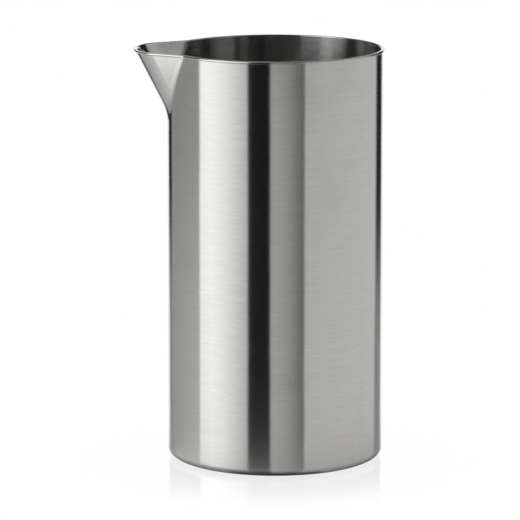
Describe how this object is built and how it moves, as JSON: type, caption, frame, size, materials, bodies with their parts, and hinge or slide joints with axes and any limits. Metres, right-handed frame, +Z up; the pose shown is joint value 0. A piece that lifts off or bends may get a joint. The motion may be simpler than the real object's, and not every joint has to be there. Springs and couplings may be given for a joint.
{
  "type": "bar mixing jug",
  "caption": "Straight-sided brushed steel bar mixing jug with an open mouth, a fine rim bead and a broad V-shaped pouring spout.",
  "frame": {"origin": "middle of the standing face, on the tube's axis", "axes": "+Z up along the tube's axis, towards the mouth; the spout points along -X"},
  "size_m": [0.0975, 0.085, 0.161],
  "materials": {
    "tube_steel": "fine satin, brushed round the tube",
    "pan_steel": "fine satin, brushed round the wall and turned on the underside",
    "spout_steel": "fine satin, brushed level",
    "weld_steel": "weld metal dressed flush and brushed with the sheet"
  },
  "bodies": {
    "root": {"base_pan": "pan_steel", "base_weld": "weld_steel", "body_tube": "tube_steel", "spout_weld": "weld_steel", "spout": "spout_steel"}
  },
  "joints": []
}
